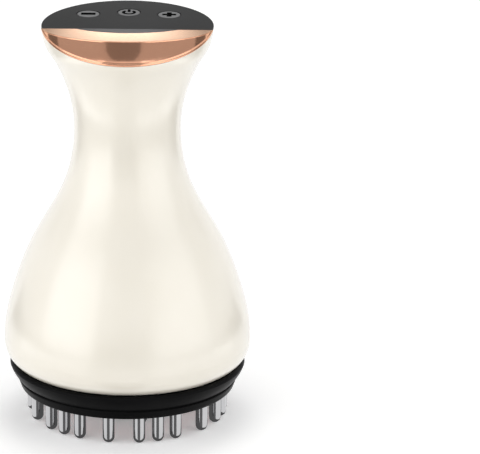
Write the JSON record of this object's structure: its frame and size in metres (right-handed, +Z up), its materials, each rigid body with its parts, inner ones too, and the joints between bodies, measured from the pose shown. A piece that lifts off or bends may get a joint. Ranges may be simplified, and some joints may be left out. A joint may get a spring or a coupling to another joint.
{
  "type": "anti-cellulite massager",
  "caption": "Bottle-shaped handheld body massager that stands on a round head of rounded metal studs with a red light ring, with a slanted metallic lip and push keys on top.",
  "frame": {"origin": "under the middle of the round head, in the plane of the stud tips on which it stands", "axes": "+Z up along the body's axis, -Y towards the front, where the metallic lip rises, +X towards the plus key"},
  "size_m": [0.0878, 0.0878, 0.1474],
  "materials": {
    "pearl_housing": "gloss",
    "bezel_black": "satin",
    "face_black": "satin",
    "red_lens": "gloss",
    "stud_chrome": "polished",
    "seal_rubber": "matte",
    "inner_plastic": "matte",
    "circuit_board": "satin",
    "lamp_white": "satin",
    "screw_steel": "satin",
    "motor_steel": "satin",
    "weight_brass": "satin",
    "cell_wrap": "satin",
    "contact_brass": "satin",
    "component_black": "matte",
    "socket_steel": "satin",
    "key_grey": "satin",
    "panel_grey": "satin",
    "rose_gold": "polished"
  },
  "bodies": {
    "housing": {"body_shell": "pearl_housing", "base_bezel": "bezel_black", "seal_ring": "seal_rubber", "face_plate": "face_black", "centre_disc": "face_black", "light_ring": "red_lens", "outer_studs": "stud_chrome", "inner_studs": "stud_chrome", "stud_carrier": "inner_plastic", "led_board": "circuit_board", "leds": "lamp_white", "face_screws": "screw_steel", "body_screws": "screw_steel", "chassis_plate": "inner_plastic", "inner_frame": "inner_plastic", "frame_screws": "screw_steel", "motor_can": "motor_steel", "motor_endcap": "inner_plastic", "battery": "cell_wrap", "battery_contacts": "contact_brass", "battery_cap": "inner_plastic", "main_board": "circuit_board", "board_parts": "component_black", "charging_socket": "socket_steel", "key_board": "circuit_board", "tact_switches": "component_black", "panel_screws": "screw_steel", "control_panel": "panel_grey", "front_trim": "rose_gold"},
    "button_minus": {"button_minus": "key_grey", "plunger_minus": "component_black"},
    "button_mode": {"button_mode": "key_grey", "plunger_mode": "component_black"},
    "button_plus": {"button_plus": "key_grey", "plunger_plus": "component_black"},
    "rotor": {"motor_shaft": "motor_steel", "eccentric_weight": "weight_brass"}
  },
  "joints": [
    {"name": "press_minus", "type": "slide", "parent": "housing", "child": "button_minus", "axis": [0, 0, -1], "range_m": [0, 0.0005], "stiffness_N_per_m": 600},
    {"name": "press_mode", "type": "slide", "parent": "housing", "child": "button_mode", "axis": [0, 0, -1], "range_m": [0, 0.0005], "stiffness_N_per_m": 600},
    {"name": "press_plus", "type": "slide", "parent": "housing", "child": "button_plus", "axis": [0, 0, -1], "range_m": [0, 0.0005], "stiffness_N_per_m": 600},
    {"name": "motor_spin", "type": "hinge", "parent": "housing", "child": "rotor", "pos_m": [0, 0, 0.03], "axis": [0, 0, 1], "continuous": true}
  ]
}
